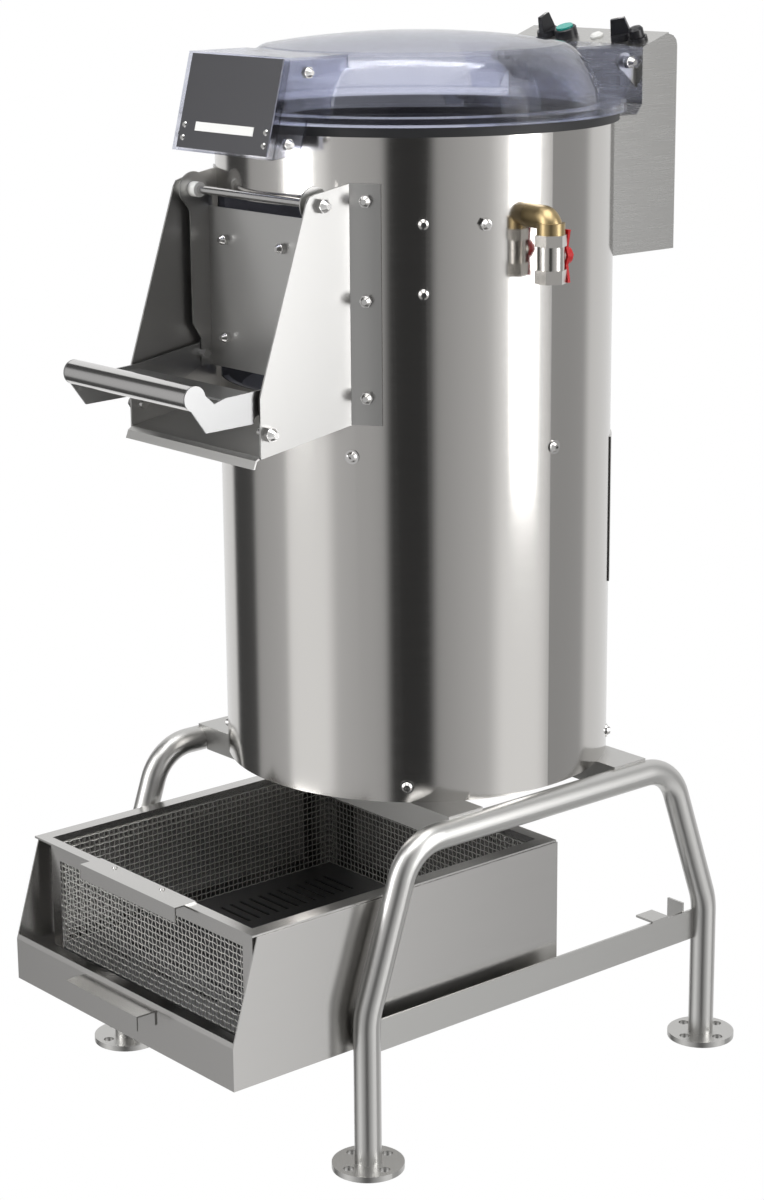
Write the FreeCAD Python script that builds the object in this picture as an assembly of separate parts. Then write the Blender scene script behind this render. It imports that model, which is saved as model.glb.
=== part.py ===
import FreeCAD, Part
import math
import os

# Electric potato peeler on a tube stand, with a drawer for the waste.
# Millimetres, +Z up, front towards -Y. Pieces are drawn about the drum axis and
# moved together at the end, so that the middle of the footprint is the origin.

V = FreeCAD.Vector

# Driving dimensions of the drum body
body_r = 200.0            # outer radius of the round body
sheet = 1.5               # stainless sheet
plate = 2.0               # heavier sheet of the chute and latch
body_bottom = 338.0       # underside of the body, on the cross members
body_height = 658.0
chamber_floor_z = 700.0
liner_wall = 6.0
liner_height = 276.0
disc_r = 178.0
disc_wall = 10.0
running_gap = 0.3         # between pieces that move past each other
fit_gap = 0.05            # radial, between a shaft and its bore

# Driving dimensions of the stand
tube_r = 13.45            # 3/4 inch tube
tube_wall = 2.0
frame_x = 203.7           # from the drum axis to each side frame
front_leg_y = -243.9
rear_leg_y = 231.0
front_corner_y = -188.0
rear_corner_y = 172.0
low_bend_z = 158.0
low_bend_r = 70.0
top_bend_r = 50.0
foot_r = 36.0
foot_t = 6.0
foot_hole_r = 5.5
foot_pcd = 50.0
member_width = 45.0
member_y = 114.5          # middle of each cross member from the drum axis
member_t = 3.0
member_depth = 26.0

# Driving dimensions of the drawer
rail_bottom = 115.5
rail_height = 33.0
rail_t = 2.5
rail_shelf = 26.0
tray_half_x = 184.4
tray_front_y = -392.0
tray_length = 422.0
tray_height = 148.2
tray_front_height = 44.0
tray_slant = 32.0
basket_depth = 116.0
basket_flange = 16.0
basket_inset = 3.0

# Driving dimensions of the chute, its door and its latch
chute_half_x = 104.7      # to the outer face of each side plate
chute_top_z = 948.0
chute_bottom_z = 717.8
spout_y = -283.0
spout_z = 699.5
rod_r = 4.0
rod_y = -207.0
rod_z = 930.0
door_half_x = 95.0
door_face_y = -187.5
door_bottom_z = 753.0
door_top_z = 912.0
door_flange = 23.0
ear_r = 17.0
bush_r = 7.5
bush_length = 12.0
lever_pivot_y = -200.0
lever_pivot_z = 766.0
latch_pin_r = 4.2
latch_pin_y = -274.0
latch_pin_z = 723.0
latch_throw = 9.0         # degrees that the lever drops to hook on its pins
handle_y = -353.0
handle_z = 765.0
handle_r = 12.0

# Driving dimensions of the lid
lid_r = 212.0
lid_t = 3.0
lid_rise = 77.0
rim_t = 8.0
visor_half_x = 78.0
hood_half_x = 95.0
hinge_y = 205.0
hinge_z = 1041.0
hinge_pin_r = 4.0

# Driving dimensions of the control box
box_half_x = 100.0
box_front_y = 222.5
box_back_y = 273.0
box_bottom = 846.0
panel_front_z = 1055.5
panel_back_z = 1068.8
panel_back_y = 260.0
knob_r = 12.0
knob_height = 22.0
button_r = 12.0
button_travel = 3.0

# Driving dimensions of the water inlet
inlet_angle = 82.4
inlet_z = 914.0
inlet_reach = 232.0
pipe_r = 11.5
valve_handle_half = 25.0

# Driving dimensions of the drive
shaft_r = 12.5
driven_pulley_r = 80.0
motor_pulley_r = 28.0
pulley_height = 22.0
pulley_z = 566.0
motor_y = 112.0
motor_r = 62.0
motor_height = 170.0
belt_width = 12.0
belt_t = 5.0

# Sizes that follow from them
body_top = body_bottom + body_height
inner_r = body_r - sheet
frame_z = body_bottom - member_t - tube_r
tray_bottom = rail_bottom + rail_t + running_gap
tray_top = tray_bottom + tray_height
tray_back_y = tray_front_y + tray_length
flange_z = tray_top + running_gap
liner_bottom = chamber_floor_z + 3.0
liner_r = inner_r - 0.2
liner_inner_r = liner_r - liner_wall
disc_z = chamber_floor_z + 14.0
rim_z = body_top + 4.5
lid_top = rim_z + lid_rise
belt_z = pulley_z + (pulley_height - belt_width) / 2
groove = belt_t - 1.0
mount_z = pulley_z - 22.0
motor_low = mount_z - motor_height


def box(x0, x1, y0, y1, z0, z1):
    return Part.makeBox(x1 - x0, y1 - y0, z1 - z0, V(x0, y0, z0))


def rod(r, a, b):
    a, b = V(*a), V(*b)
    return Part.makeCylinder(r, (b - a).Length, a, b - a)


def pipe(r_out, r_in, a, b):
    a, b = V(*a), V(*b)
    outer = Part.makeCylinder(r_out, (b - a).Length, a, b - a)
    return outer.cut(Part.makeCylinder(r_in, (b - a).Length, a, b - a))


def upright(r, z0, z1, x=0.0, y=0.0):
    return rod(r, (x, y, z0), (x, y, z1))


def ring(r_out, r_in, z0, z1, x=0.0, y=0.0):
    return pipe(r_out, r_in, (x, y, z0), (x, y, z1))


def side_profile(points, x0, x1):
    # A flat outline in the YZ plane, drawn out along X.
    corners = [V(x0, y, z) for y, z in points]
    face = Part.Face(Part.makePolygon(corners + corners[:1]))
    return face.extrude(V(x1 - x0, 0, 0))


def flat_profile(points, z0, z1):
    corners = [V(x, y, z0) for x, y in points]
    face = Part.Face(Part.makePolygon(corners + corners[:1]))
    return face.extrude(V(0, 0, z1 - z0))


def fuse(shapes):
    whole = shapes[0]
    for shape in shapes[1:]:
        whole = whole.fuse(shape)
    return whole.removeSplitter()


def group(shapes):
    return Part.makeCompound(shapes)


def mirrored(shape):
    return shape.mirror(V(0, 0, 0), V(1, 0, 0))


def around(angle, r, z):
    # A point on a round wall; the angle runs from the front towards +X.
    a = math.radians(angle)
    return V(r * math.sin(a), -r * math.cos(a), z)


def outward(angle):
    a = math.radians(angle)
    return V(math.sin(a), -math.cos(a), 0)


def sector(r_out, r_in, z0, z1, a0, a1):
    # A bent sheet: a slice of a ring between two angles.
    tube = ring(r_out, r_in, z0, z1)
    reach = 3 * r_out
    middle = (a0 + a1) / 2
    steps = [a0, (a0 + middle) / 2, middle, (middle + a1) / 2, a1]
    wedge = [(0.0, 0.0)] + [(around(a, reach, 0).x, around(a, reach, 0).y) for a in steps]
    return tube.common(flat_profile(wedge, z0, z1))


def bent_path(points, radii):
    # Straight runs joined by arcs, one radius for each inner corner.
    edges = []
    start = V(*points[0])
    for i in range(1, len(points) - 1):
        corner = V(*points[i])
        back = (V(*points[i - 1]) - corner).normalize()
        ahead = (V(*points[i + 1]) - corner).normalize()
        half = back.getAngle(ahead) / 2
        reach = radii[i - 1] / math.tan(half)
        p = corner + back * reach
        q = corner + ahead * reach
        bisector = (back + ahead).normalize()
        centre = corner + bisector * (radii[i - 1] / math.sin(half))
        middle = centre - bisector * radii[i - 1]
        edges.append(Part.LineSegment(start, p).toShape())
        edges.append(Part.Arc(p, middle, q).toShape())
        start = q
    edges.append(Part.LineSegment(start, V(*points[-1])).toShape())
    return Part.Wire(edges)


def swept(path, r, first, direction):
    circle = Part.Wire([Part.makeCircle(r, V(*first), V(*direction))])
    return path.makePipeShell([circle], True, False)


def hexagon(across, a, direction, length):
    # A hexagonal bar from a point, for nut and valve flats.
    axis = V(*direction).normalize()
    side = V(0, 0, 1).cross(axis)
    if side.Length < 0.5:
        side = V(1, 0, 0)
    side.normalize()
    third = axis.cross(side)
    r = across / math.sqrt(3)
    corners = []
    for i in range(6):
        t = math.radians(60 * i)
        corners.append(V(*a) + side * (r * math.cos(t)) + third * (r * math.sin(t)))
    return Part.Face(Part.makePolygon(corners + corners[:1])).extrude(axis * length)


def cap_nut(at, direction, across=11.0):
    # Hexagon with a domed end, its flat face on the sheet.
    axis = V(*direction).normalize()
    start = V(*at)
    nut_height = across * 0.5
    dome_height = across * 0.45
    nut = hexagon(across, start, axis, nut_height)
    dome = Part.makeCone(across * 0.46, across * 0.24, dome_height, start + axis * nut_height, axis)
    return nut.fuse(dome)


def sheet_screw(at, direction):
    # Round head on a washer, with the shank through the sheet.
    axis = V(*direction).normalize()
    start = V(*at)
    washer = Part.makeCylinder(7.0, 1.2, start, axis)
    head = Part.makeCone(5.2, 3.4, 3.2, start + axis * 1.2, axis)
    socket = hexagon(3.0, start + axis * 2.6, axis, 2.5)
    shank = Part.makeCylinder(screw_r, screw_reach, start, axis * -1)
    return washer.fuse(head).cut(socket).fuse(shank)


nodes = {}

# Stand: two bent tube side frames on round flanges
frame_points = [(frame_x, front_leg_y, foot_t),
                (frame_x, front_leg_y, low_bend_z),
                (frame_x, front_corner_y, frame_z),
                (frame_x, rear_corner_y, frame_z),
                (frame_x, rear_leg_y, low_bend_z),
                (frame_x, rear_leg_y, foot_t)]
frame_path = bent_path(frame_points, [low_bend_r, top_bend_r, top_bend_r, low_bend_r])
frame_bar = swept(frame_path, tube_r, frame_points[0], (0, 0, 1))
frame_bore = swept(frame_path, tube_r - tube_wall, frame_points[0], (0, 0, 1))
right_frame = frame_bar.cut(frame_bore)
nodes["right_leg_frame"] = right_frame
nodes["left_leg_frame"] = mirrored(right_frame)

feet = []
for fx in (frame_x, -frame_x):
    for fy in (front_leg_y, rear_leg_y):
        foot = upright(foot_r, 0, foot_t, fx, fy)
        for i in range(4):
            turn = math.radians(90 * i)
            hx = fx + foot_pcd / 2 * math.cos(turn)
            hy = fy + foot_pcd / 2 * math.sin(turn)
            foot = foot.cut(upright(foot_hole_r, 0, foot_t, hx, hy))
        feet.append(foot)
nodes["foot_flanges"] = group(feet)


def cross_member(middle_y):
    # Downward channel, its ends cut round over the side tubes.
    y0 = middle_y - member_width / 2
    y1 = middle_y + member_width / 2
    low = body_bottom - member_depth
    web = box(-frame_x, frame_x, y0, y1, body_bottom - member_t, body_bottom)
    front = box(-frame_x, frame_x, y0, y0 + member_t, low, body_bottom)
    back = box(-frame_x, frame_x, y1 - member_t, y1, low, body_bottom)
    channel = fuse([web, front, back])
    for x in (frame_x, -frame_x):
        channel = channel.cut(rod(tube_r, (x, y0 - 1, frame_z), (x, y1 + 1, frame_z)))
        gap = box(-tube_r - 1, tube_r + 1, y0 - 1, y1 + 1, low - 1, frame_z)
        channel = channel.cut(gap.translated(V(x, 0, 0)))
    return channel


nodes["cross_members"] = group([cross_member(-member_y), cross_member(member_y)])

# Drawer rails: angles between the legs, with two turned-in stop tabs
rail_top = rail_bottom + rail_height
rail_x = frame_x - tube_r * 0.4
rail_y0 = front_leg_y + tube_r * 0.55
rail_y1 = rear_leg_y - tube_r * 0.55
rail_wall = box(rail_x, rail_x + rail_t, rail_y0, rail_y1, rail_bottom, rail_top)
rail_floor = box(rail_x - rail_shelf, rail_x, rail_y0, rail_y1, rail_bottom, rail_bottom + rail_t)
tab_depth = 22.0
tab_width = 24.0
side_tab = box(rail_x - tab_depth, rail_x + rail_t, rail_y1 - 68, rail_y1 - 68 + tab_width,
               rail_top, rail_top + rail_t)
end_tab = box(rail_x - tab_depth, rail_x, rail_y1 - 20, rail_y1 - 20 + rail_t,
              rail_bottom + rail_t, rail_top + 10)
rail = fuse([rail_wall, rail_floor, side_tab, end_tab])
rail = rail.cut(frame_bar)
rail = max(rail.Solids, key=lambda s: s.Volume)
nodes["tray_rails"] = group([rail, mirrored(rail)])

# Body: round sheet wall with openings for the chute and the inlet
screw_r = 3.0
screw_reach = 7.0
opening_half_x = door_half_x + 3.0
opening_bottom = door_bottom_z - 14.0
opening_top = rod_z - 6.0
shell = ring(body_r, inner_r, body_bottom, body_top)
chute_opening = box(-opening_half_x, opening_half_x, -body_r - 20, -120, opening_bottom, opening_top)
shell = shell.cut(chute_opening)
screw_places = [(a, chamber_floor_z - 14) for a in (31.1, 91.4, 151.7, 208.3, 268.6, 328.9)]
screw_places += [(a, body_bottom + 16) for a in (46.0, 134.0, 226.0, 314.0)]
nut_places = [(51.2, 910.5), (51.2, 844.6), (68.2, 908.7)]
nut_places += [(360 - a, z) for a, z in nut_places]
liner_bolt_r = 2.4


def radial_hole(angle, z, r):
    a = around(angle, body_r + 6, z)
    b = around(angle, body_r - 16, z)
    return rod(r, (a.x, a.y, a.z), (b.x, b.y, b.z))


for angle, z in screw_places:
    shell = shell.cut(radial_hole(angle, z, screw_r))
for angle, z in nut_places:
    shell = shell.cut(radial_hole(angle, z, liner_bolt_r))
shell = shell.cut(radial_hole(inlet_angle, inlet_z, pipe_r))

hatch_bottom = 520.0
hatch_top = 688.0
hatch_half = 50.0
hatch_opening = sector(body_r + 1, inner_r - 1, hatch_bottom + 12, hatch_top - 22,
                       180 - hatch_half + 4, 180 + hatch_half - 4)
shell = shell.cut(hatch_opening)
nodes["body_shell"] = shell
hatch = sector(body_r + sheet, body_r, hatch_bottom, hatch_top - 16, 180 - hatch_half, 180 + hatch_half)
nodes["service_hatch"] = hatch

pan_rim = 30.0
pan = upright(inner_r, body_bottom + 1, body_bottom + 1 + sheet)
pan = pan.fuse(ring(inner_r, inner_r - sheet, body_bottom + 1, body_bottom + 1 + pan_rim))
floor_rim = 24.0
floor_dish = upright(inner_r, chamber_floor_z, chamber_floor_z + 3)
floor_dish = floor_dish.fuse(ring(inner_r, inner_r - plate, chamber_floor_z - floor_rim, chamber_floor_z))
for angle, z in screw_places:
    hole = radial_hole(angle, z, screw_r)
    pan = pan.cut(hole)
    floor_dish = floor_dish.cut(hole)
nodes["body_screws"] = group([sheet_screw(around(a, body_r, z), outward(a)) for a, z in screw_places])

outlet_r = 28.0
outlet_x = -124.0
outlet_y = -10.0
outlet_end = body_bottom - 18
outlet_hole = upright(outlet_r, body_bottom - 1, chamber_floor_z + 4, outlet_x, outlet_y)
housing_r = 42.0
pan = pan.cut(outlet_hole)
nodes["base_pan"] = pan.removeSplitter()
hub_hole_r = shaft_r + 8
floor_dish = floor_dish.cut(outlet_hole).cut(upright(hub_hole_r, chamber_floor_z - 1, chamber_floor_z + 4))
nodes["chamber_floor"] = floor_dish.removeSplitter()
outlet = ring(outlet_r, outlet_r - 2, outlet_end, chamber_floor_z + 3, outlet_x, outlet_y)
nodes["waste_outlet"] = outlet

liner = ring(liner_r, liner_inner_r, liner_bottom, liner_bottom + liner_height)
liner = liner.cut(chute_opening)
for angle, z in nut_places:
    liner = liner.cut(radial_hole(angle, z, liner_bolt_r))
liner = liner.cut(radial_hole(inlet_angle, inlet_z, pipe_r))
nodes["abrasive_liner"] = liner

gasket_lip = 5.0
gasket = ring(body_r + gasket_lip, inner_r - 4, body_top - 5, rim_z - running_gap)
gasket = gasket.cut(ring(body_r, inner_r, body_top - 6, body_top))
nodes["rim_gasket"] = gasket

# Discharge chute: two side plates with flanges, and the spout between them
wall_y = -math.sqrt(body_r ** 2 - chute_half_x ** 2)
side_points = [(wall_y, chute_top_z),
               (-214.0, chute_top_z - 7.5),
               (-220.5, chute_top_z - 9.5),
               (-224.0, chute_top_z - 15.0),
               (spout_y + 2, 763.0),
               (spout_y, 757.0),
               (spout_y, spout_z),
               (wall_y, chute_bottom_z)]
side_plate = side_profile(side_points, chute_half_x - plate, chute_half_x)
side_plate = side_plate.cut(upright(body_r, body_bottom, body_top))
flange_angle = math.degrees(math.asin(chute_half_x / body_r))
flange_end = flange_angle + 8.3
side_flange = sector(body_r + plate, body_r, chute_bottom_z, chute_top_z, flange_angle - 0.3, flange_end)
flange_middle = flange_angle + 4.3
chute_nut_z = [745.0, 838.0, 932.0]
right_side = side_plate.fuse(side_flange).removeSplitter()
right_side = right_side.cut(rod(rod_r, (0, rod_y, rod_z), (2 * chute_half_x, rod_y, rod_z)))
right_side = right_side.cut(rod(latch_pin_r, (0, latch_pin_y, latch_pin_z),
                                (2 * chute_half_x, latch_pin_y, latch_pin_z)))
nodes["right_chute_side"] = right_side
nodes["left_chute_side"] = mirrored(right_side)

spout_inner = chute_half_x - plate
lip_drop = 9.0
spout_points = [(wall_y, chute_bottom_z + plate),
                (spout_y, spout_z + plate),
                (spout_y - 5, spout_z + plate - 3),
                (spout_y - 8, spout_z - lip_drop),
                (spout_y - 6, spout_z - lip_drop),
                (spout_y - 3.4, spout_z - 2.2),
                (spout_y, spout_z),
                (wall_y, chute_bottom_z)]
spout = side_profile(spout_points, -spout_inner, spout_inner)
spout = spout.cut(upright(body_r, body_bottom, body_top))
nodes["chute_spout"] = spout

rod_end = chute_half_x + 10
nodes["door_pivot_rod"] = rod(rod_r, (-rod_end, rod_y, rod_z), (rod_end, rod_y, rod_z))
latch_pin = rod(latch_pin_r, (door_half_x - 3, latch_pin_y, latch_pin_z),
                (chute_half_x, latch_pin_y, latch_pin_z))
nodes["latch_pins"] = group([latch_pin, mirrored(latch_pin)])

nuts = []
for z in chute_nut_z:
    nuts.append(cap_nut(around(flange_middle, body_r + plate, z), outward(flange_middle)))
rod_nut = cap_nut((chute_half_x, rod_y, rod_z), (1, 0, 0), 13.0)
rod_nut = rod_nut.cut(rod(rod_r, (0, rod_y, rod_z), (rod_end, rod_y, rod_z)))
nuts.append(rod_nut)
nuts.append(cap_nut((chute_half_x, latch_pin_y, latch_pin_z), (1, 0, 0), 13.0))
nuts += [mirrored(nut) for nut in nuts]
for angle, z in nut_places:
    nut = cap_nut(around(angle, body_r, z), outward(angle))
    tip = around(angle, liner_inner_r + 1, z)
    base = around(angle, body_r, z)
    nuts.append(nut.fuse(rod(liner_bolt_r, (base.x, base.y, z), (tip.x, tip.y, z))))

# Door: bent sheet that hangs from the rod on two bushes
door_front_y = door_face_y - plate / 2 - door_flange
door_face = box(-door_half_x, door_half_x, door_face_y - sheet, door_face_y, door_bottom_z, door_top_z)
strip_points = [(door_face_y, door_bottom_z),
                (door_face_y, door_top_z),
                (rod_y + ear_r * 0.8, rod_z - ear_r * 0.4),
                (rod_y - ear_r * 0.6, rod_z - ear_r * 0.8),
                (door_front_y, door_top_z - 4),
                (door_front_y, 797.0),
                (door_front_y + 10, 780.0),
                (door_front_y + 10, door_bottom_z)]
strip = side_profile(strip_points, door_half_x - sheet, door_half_x)
ear = rod(ear_r, (door_half_x - sheet, rod_y, rod_z), (door_half_x, rod_y, rod_z))
side_strip = strip.fuse(ear)
bush_bore = rod(rod_r + fit_gap, (0, rod_y, rod_z), (2 * door_half_x, rod_y, rod_z))
bush_body = rod(bush_r, (0, rod_y, rod_z), (2 * door_half_x, rod_y, rod_z))
pivot_screw_r = 4.0
lever_bore = rod(pivot_screw_r, (door_half_x - 9, lever_pivot_y, lever_pivot_z),
                 (chute_half_x - plate - 1.2, lever_pivot_y, lever_pivot_z))
side_strip = side_strip.cut(bush_body).cut(lever_bore)
door = fuse([door_face, side_strip, mirrored(side_strip)])
door_nut_places = [(-66.0, 881.0), (24.0, 881.0), (-66.0, 784.0), (24.0, 784.0)]
nodes["door_panel"] = door
bush = rod(bush_r, (door_half_x - bush_length, rod_y, rod_z), (door_half_x + 4, rod_y, rod_z)).cut(bush_bore)
nodes["door_bushes"] = group([bush, mirrored(bush)])

# Latch: lever arms that hook on the pins, a shelf plate and a rolled handle
arm_x0 = door_half_x + 1.0
arm_x1 = arm_x0 + plate
arm_points = [(lever_pivot_y + 2, lever_pivot_z - 11),
              (lever_pivot_y + 2, lever_pivot_z + 11),
              (-277.0, 764.0),
              (-318.0, 761.5),
              (-331.0, 757.5),
              (handle_y + 2, handle_z + 10.5),
              (handle_y - 9, handle_z - 5),
              (-341.0, 731.5),
              (latch_pin_y, latch_pin_z + latch_pin_r + 6),
              (lever_pivot_y - 20, lever_pivot_z - 22)]
arm = side_profile(arm_points, arm_x0, arm_x1)
arm = arm.fuse(rod(handle_r, (arm_x0, handle_y, handle_z), (arm_x1, handle_y, handle_z)))
arm = arm.fuse(rod(11.0, (arm_x0, lever_pivot_y, lever_pivot_z), (arm_x1, lever_pivot_y, lever_pivot_z)))
arm = arm.cut(rod(pivot_screw_r + fit_gap, (0, lever_pivot_y, lever_pivot_z),
                  (2 * arm_x1, lever_pivot_y, lever_pivot_z)))
hook_r = latch_pin_r + 1.3
for step in range(7):
    turn = math.radians(-latch_throw * step / 6)
    dy = latch_pin_y - lever_pivot_y
    dz = latch_pin_z - lever_pivot_z
    hy = lever_pivot_y + dy * math.cos(turn) - dz * math.sin(turn)
    hz = lever_pivot_z + dy * math.sin(turn) + dz * math.cos(turn)
    arm = arm.cut(rod(hook_r, (arm_x0, hy, hz), (arm_x1, hy, hz)))
arm = arm.removeSplitter()
shelf = flat_profile([(-arm_x0, -277), (arm_x0, -277), (arm_x0, -312), (arm_x0 - 8, -318),
                      (-arm_x0 + 8, -318), (-arm_x0, -312)], 757.5, 757.5 + plate)
nodes["latch_lever"] = fuse([arm, mirrored(arm), shelf])
grip = pipe(handle_r, handle_r - sheet, (-arm_x0, handle_y, handle_z), (arm_x0, handle_y, handle_z))
grip = grip.cut(box(-arm_x0, arm_x0, handle_y, handle_y + 2 * handle_r, handle_z - 2 * handle_r, handle_z + 3))
nodes["latch_handle"] = grip
pivot_head = hexagon(8.0, (door_half_x - 9, lever_pivot_y, lever_pivot_z), (1, 0, 0), 6.0)
pivot_screw = lever_bore.fuse(pivot_head)
door_nuts = [cap_nut((x, door_face_y - sheet, z), (0, -1, 0), 10.0) for x, z in door_nut_places]
nodes["door_fasteners"] = group(door_nuts + [pivot_screw, mirrored(pivot_screw)])

# Lid: formed clear dome with a front visor and a rear hinge hood
shoulder_r = lid_r * 0.71
crown_drop = 12.2
crown_r = (shoulder_r ** 2 + crown_drop ** 2) / (2 * crown_drop)
crown_centre_z = lid_top - crown_r
crown_spread = math.asin(shoulder_r / crown_r)
foot_inset = 26.0


def on_crown(angle, inset):
    r = crown_r - inset
    return V(r * math.sin(angle), 0, crown_centre_z + r * math.cos(angle))


def dome_solid(inset):
    # Turned solid: a spherical crown, a rounded haunch and a straight foot.
    foot = V(lid_r - foot_inset - inset, 0, rim_z + rim_t)
    haunch = V(lid_r * 0.79 - inset * 0.8, 0, lid_top - 24.4 - inset * 0.7)
    shoulder = on_crown(crown_spread, inset)
    top = on_crown(0.0, inset)
    low = rim_z - min(inset, 1.0)
    edges = [Part.LineSegment(V(0, 0, low), V(foot.x, 0, low)).toShape(),
             Part.LineSegment(V(foot.x, 0, low), foot).toShape(),
             Part.Arc(foot, haunch, shoulder).toShape(),
             Part.Arc(shoulder, on_crown(crown_spread / 2, inset), top).toShape(),
             Part.LineSegment(top, V(0, 0, low)).toShape()]
    return Part.Face(Part.Wire(edges)).revolve(V(0, 0, 0), V(0, 0, 1), 360)


dome_outer = dome_solid(0.0)
dome_inner = dome_solid(lid_t)
rim_ring = upright(lid_r, rim_z, rim_z + rim_t)
rim_flat = box(-80, 80, hinge_y + 1, lid_r + 1, rim_z - 1, rim_z + rim_t + 1)
rim_ring = rim_ring.cut(rim_flat)
visor_root_y = -150.0
visor_top_y = -219.0
visor_foot_y = -243.0
visor_top_z = rim_z + 64.0
visor_foot_z = body_top - 24.0
visor_points = [(visor_root_y, visor_top_z),
                (visor_top_y, visor_top_z),
                (visor_foot_y, visor_foot_z),
                (visor_foot_y + 34, visor_foot_z + 4),
                (-199.0, rim_z + rim_t - 2),
                (visor_root_y, rim_z + rim_t - 2)]
visor_outer = side_profile(visor_points, -visor_half_x, visor_half_x)
visor_bore_points = [(-100.0, visor_top_z - lid_t),
                     (visor_top_y + 2.4, visor_top_z - lid_t),
                     (visor_foot_y + 1, visor_foot_z - 16),
                     (visor_root_y, visor_foot_z - 16),
                     (-100.0, rim_z + rim_t - 2)]
visor_bore = side_profile(visor_bore_points, -visor_half_x + lid_t, visor_half_x - lid_t)
hood_top = rim_z + 58.5
hood_foot = rim_z + rim_t - 2
hood_front_y = 100.0
hood_points = [(hood_front_y, hood_top),
               (hinge_y - 1, hood_top),
               (hinge_y + 4, hood_top - 4.5),
               (hinge_y + 8, hood_top - 12.5),
               (hinge_y + 9, hood_top - 32.5),
               (hinge_y - 2, rim_z + rim_t),
               (hinge_y - 2, hood_foot),
               (hood_front_y, hood_foot)]
hood_outer = side_profile(hood_points, -hood_half_x, hood_half_x)
hood_bore = box(-hood_half_x + lid_t, hood_half_x - lid_t, hood_front_y - 10, hinge_y + 40,
                hood_foot - 1, hood_top - lid_t)
visor_shell = visor_outer.cut(visor_bore).cut(dome_outer)
hood_shell = hood_outer.cut(hood_bore).cut(dome_outer)
lid = dome_outer.fuse(rim_ring).cut(dome_inner)
lid = lid.fuse(visor_shell).fuse(hood_shell)
hinge_bore = rod(hinge_pin_r + fit_gap, (-2 * hood_half_x, hinge_y, hinge_z), (2 * hood_half_x, hinge_y, hinge_z))
lid = lid.cut(hinge_bore)
lid = max(lid.Solids, key=lambda s: s.Volume)
nodes["lid_shell"] = lid

slope_y = visor_foot_y - visor_top_y
slope_z = visor_foot_z - visor_top_z
slope = math.hypot(slope_y, slope_z)
out_y = slope_z / slope
out_z = -slope_y / slope


def on_visor(share, lift):
    # A point on the slanted front, from its top to its bottom.
    return (visor_top_y + slope_y * share + out_y * lift, visor_top_z + slope_z * share + out_z * lift)


visor_plate_half_x = 70.0
front_plate = side_profile([on_visor(0.02, 0), on_visor(0.97, 0), on_visor(0.97, sheet), on_visor(0.02, sheet)],
                           -visor_plate_half_x, visor_plate_half_x)
nodes["visor_plate"] = front_plate
label = side_profile([on_visor(0.70, sheet), on_visor(0.79, sheet), on_visor(0.79, sheet + 0.5),
                      on_visor(0.70, sheet + 0.5)], -45.0, 45.0)
nodes["visor_label"] = label
fasteners = []
eyelet_out = V(0, out_y, out_z)
for x in (-63.0, 63.0):
    for share in (0.74, 0.87):
        y, z = on_visor(share, sheet)
        fasteners.append(Part.makeCone(3.2, 2.2, 1.0, V(x, y, z), eyelet_out))
visor_bolts = [(-201.0, rim_z + 50), (-226.0, body_top - 10)]
for y, z in visor_bolts:
    for s in (1, -1):
        fasteners.append(cap_nut((s * visor_half_x, y, z), (s, 0, 0), 10.0))
nodes["lid_fasteners"] = group(fasteners)

# Control box behind the body, with a sloping panel
box_points = [(box_front_y, body_top + 2),
              (box_front_y, panel_front_z - sheet),
              (panel_back_y, panel_back_z - sheet),
              (box_back_y - 6, panel_back_z - 3.5),
              (box_back_y - 1.5, panel_back_z - 8),
              (box_back_y, panel_back_z - 14),
              (box_back_y, box_bottom),
              (150.0, box_bottom),
              (150.0, body_top - 8),
              (215.0, body_top - 8)]
case = side_profile(box_points, -box_half_x, box_half_x)
room_points = [(box_front_y + sheet, body_top),
               (box_front_y + sheet, panel_front_z - sheet - 2),
               (panel_back_y, panel_back_z - sheet - 2),
               (box_back_y - 7, panel_back_z - 6),
               (box_back_y - sheet, panel_back_z - 16),
               (box_back_y - sheet, box_bottom + sheet),
               (140.0, box_bottom + sheet),
               (140.0, body_top - 8 - sheet),
               (box_front_y + sheet, body_top - 8 - sheet)]
room = side_profile(room_points, -box_half_x + sheet, box_half_x - sheet)
case = case.cut(room).cut(upright(body_r, body_bottom, body_top + 60))
panel_rise = (panel_back_z - panel_front_z) / (panel_back_y - box_front_y)


def panel_point(x, y):
    return V(x, y, panel_front_z + (y - box_front_y) * panel_rise)


panel_axis = V(0, -panel_rise, 1).normalize()
panel_strip = side_profile([(box_front_y, panel_front_z - sheet), (panel_back_y, panel_back_z - sheet),
                            (panel_back_y, panel_back_z), (box_front_y, panel_front_z)],
                           -box_half_x, box_half_x)
control_places = {"power_knob": (-56.0, 239.0), "start_button": (-28.0, 239.0),
                  "timer_knob": (54.0, 239.0), "stop_button": (79.0, 237.0)}
lamp_place = (15.0, 241.0)
stem_r = 4.0
for x, y in list(control_places.values()) + [lamp_place]:
    hole = Part.makeCylinder(stem_r + fit_gap, 12, panel_point(x, y) - panel_axis * 8, panel_axis)
    panel_strip = panel_strip.cut(hole)
    case = case.cut(hole)
case = max(case.Solids, key=lambda s: s.Volume)
nodes["control_box"] = case
nodes["control_panel"] = panel_strip


def turned(place, profile):
    # A turned piece that stands on the panel; the profile is (radius, height).
    at = panel_point(*place)
    edges = [V(r, 0, h) for r, h in profile]
    face = Part.Face(Part.makePolygon(edges + edges[:1]))
    piece = face.revolve(V(0, 0, 0), V(0, 0, 1), 360)
    tilt = math.degrees(math.atan(panel_rise))
    piece.rotate(V(0, 0, 0), V(1, 0, 0), tilt)
    return piece.translated(at)


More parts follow.
